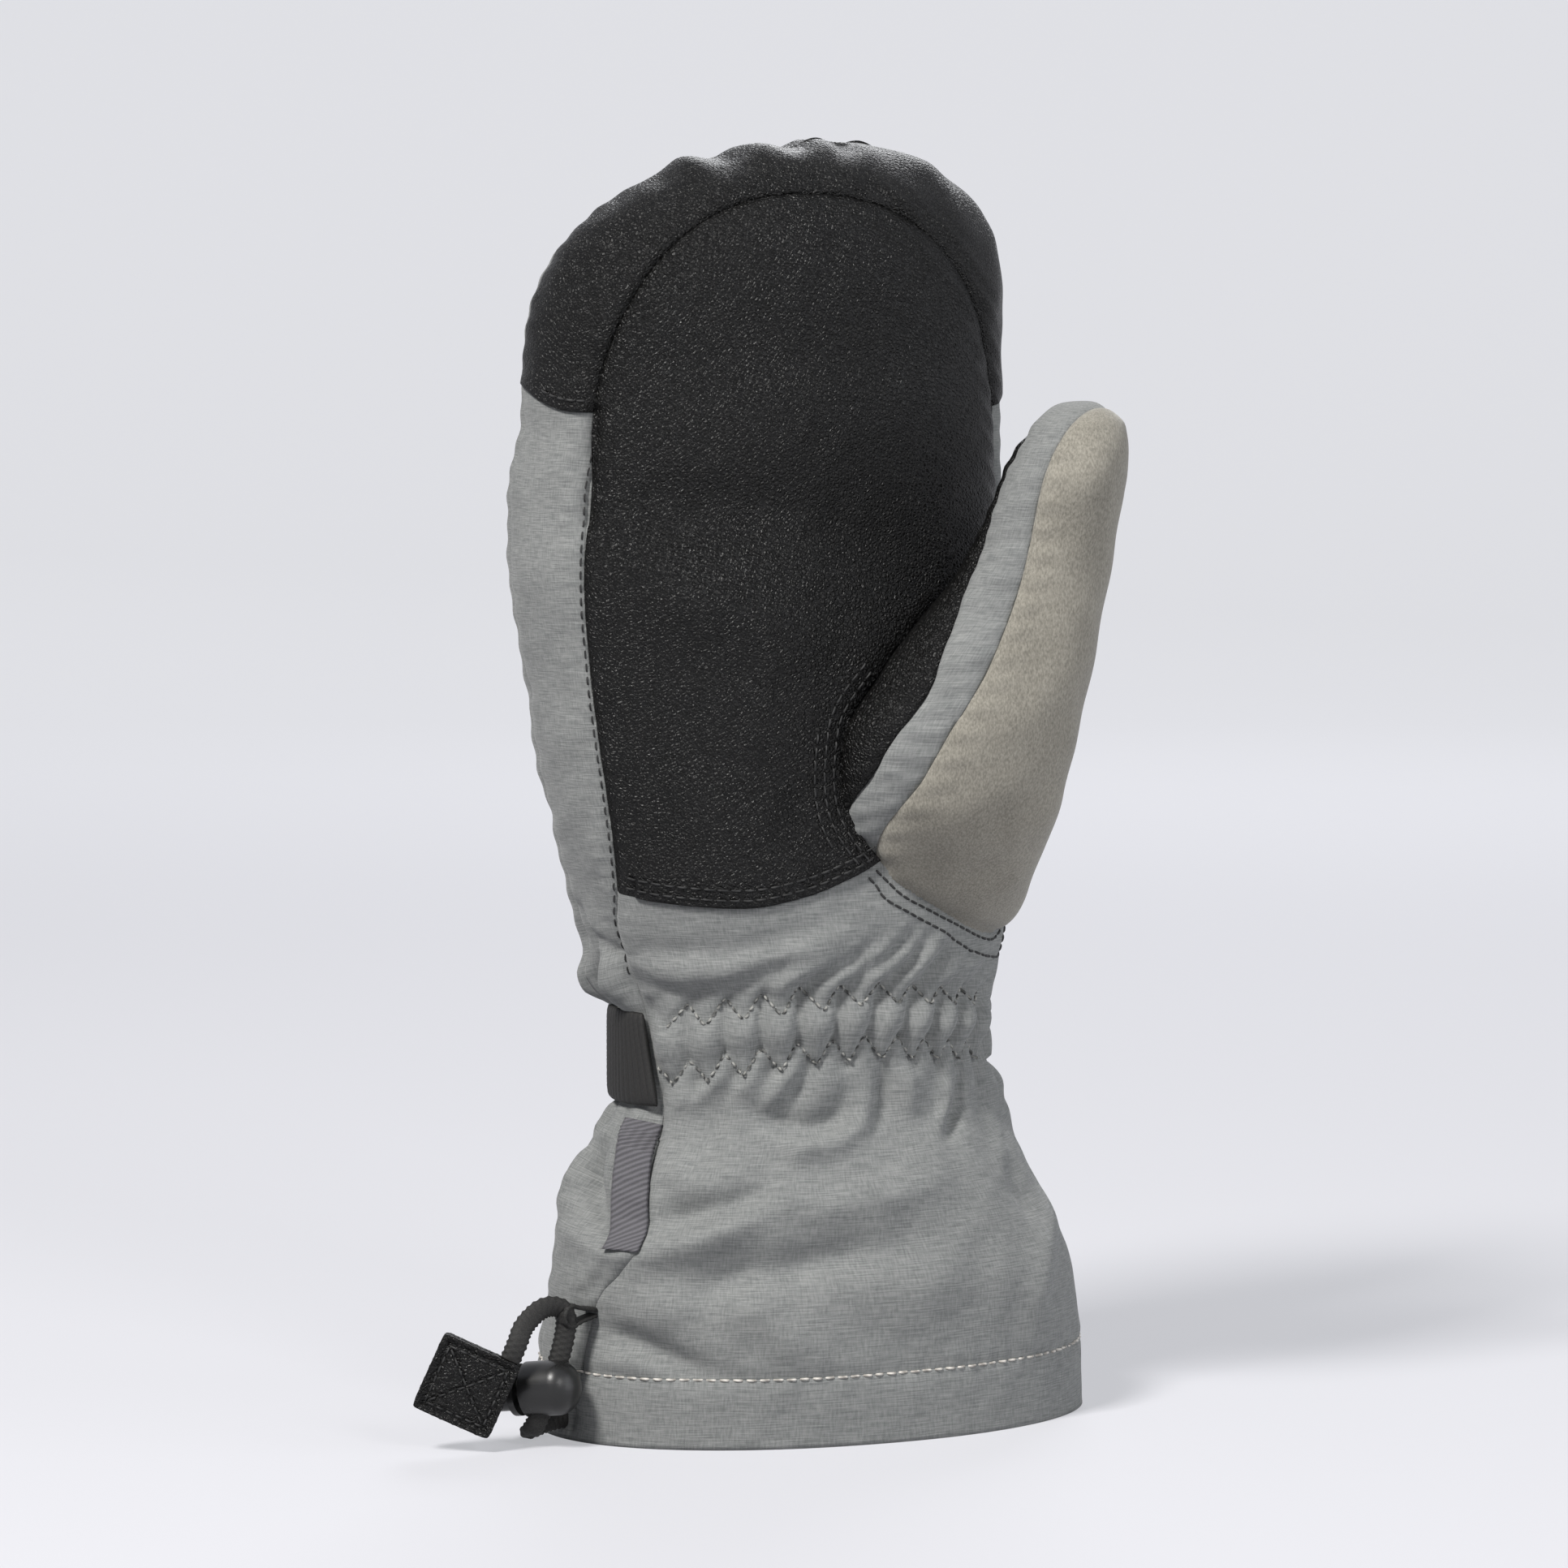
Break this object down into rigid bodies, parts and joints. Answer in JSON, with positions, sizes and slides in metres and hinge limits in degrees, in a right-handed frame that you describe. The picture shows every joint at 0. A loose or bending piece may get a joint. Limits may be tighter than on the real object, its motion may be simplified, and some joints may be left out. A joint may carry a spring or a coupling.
{
  "type": "ski mitten",
  "caption": "Insulated ski mitten for the right hand: leather palm and finger cap, suede thumb, woven back and gauntlet, wrist strap, and a hem draw cord with a push-button lock and pull tab.",
  "frame": {"origin": "centre of the hem opening, on the plane that the hem stands on", "axes": "+Z from the hem to the fingertips, +X to the thumb side, +Y to the back of the hand"},
  "size_m": [0.18, 0.105, 0.3146],
  "materials": {
    "palm_leather": "pebbled black",
    "shell_fabric": "heathered grey weave",
    "thumb_suede": "brushed suede",
    "filling": "loose filling",
    "membrane": "thin film",
    "lining": "brushed knit",
    "elastic": "covered elastic",
    "cord": "flat braid",
    "webbing": "ribbed webbing",
    "lock_plastic": "satin",
    "spring_steel": "wire",
    "buckle_plastic": "satin",
    "label_twill": "bare woven twill"
  },
  "bodies": {
    "mitten": {"palm_patch": "palm_leather", "finger_cap": "palm_leather", "side_gusset": "shell_fabric", "thumb_side_gusset": "shell_fabric", "back_panel": "shell_fabric", "gauntlet_palm": "shell_fabric", "gauntlet_back": "shell_fabric", "hem_band": "shell_fabric", "wrist_elastic_upper": "elastic", "wrist_elastic_lower": "elastic", "fill_palm": "filling", "fill_back": "filling", "membrane_insert": "membrane", "lining_hand": "lining", "lining_gauntlet": "lining", "hem_cord": "elastic", "drawcord": "cord", "cord_keeper": "webbing", "pull_tab": "palm_leather", "wrist_strap": "webbing", "strap_tail": "webbing", "strap_anchor": "webbing", "strap_buckle": "buckle_plastic", "side_label": "label_twill", "thumb_root_leather": "palm_leather", "thumb_root_gusset": "shell_fabric", "thumb_root_suede": "thumb_suede", "thumb_root_fill": "filling", "thumb_root_membrane": "membrane", "thumb_root_lining": "lining"},
    "thumb": {"thumb_leather": "palm_leather", "thumb_gusset": "shell_fabric", "thumb_suede": "thumb_suede", "thumb_fill": "filling", "thumb_membrane": "membrane", "thumb_lining": "lining"},
    "cord_lock": {"lock_barrel": "lock_plastic", "lock_spring": "spring_steel"},
    "lock_button": {"lock_plunger": "lock_plastic"}
  },
  "joints": [
    {"name": "thumb_flex", "type": "hinge", "parent": "mitten", "child": "thumb", "pos_m": [0.008, -0.0375, 0.19], "axis": [0.5, -0.866, 0], "range_deg": [0, 20], "stiffness_Nm_per_rad": 0.3},
    {"name": "lock_slide", "type": "slide", "parent": "mitten", "child": "cord_lock", "axis": [0.3524, 0.0534, 0.9343], "range_m": [0, 0.004]},
    {"name": "lock_press", "type": "slide", "parent": "cord_lock", "child": "lock_button", "axis": [0.7154, -0.6884, 0.1201], "range_m": [0, 0.0015], "stiffness_N_per_m": 400, "springref_m": -0.001, "deforming": ["lock_spring"]}
  ]
}
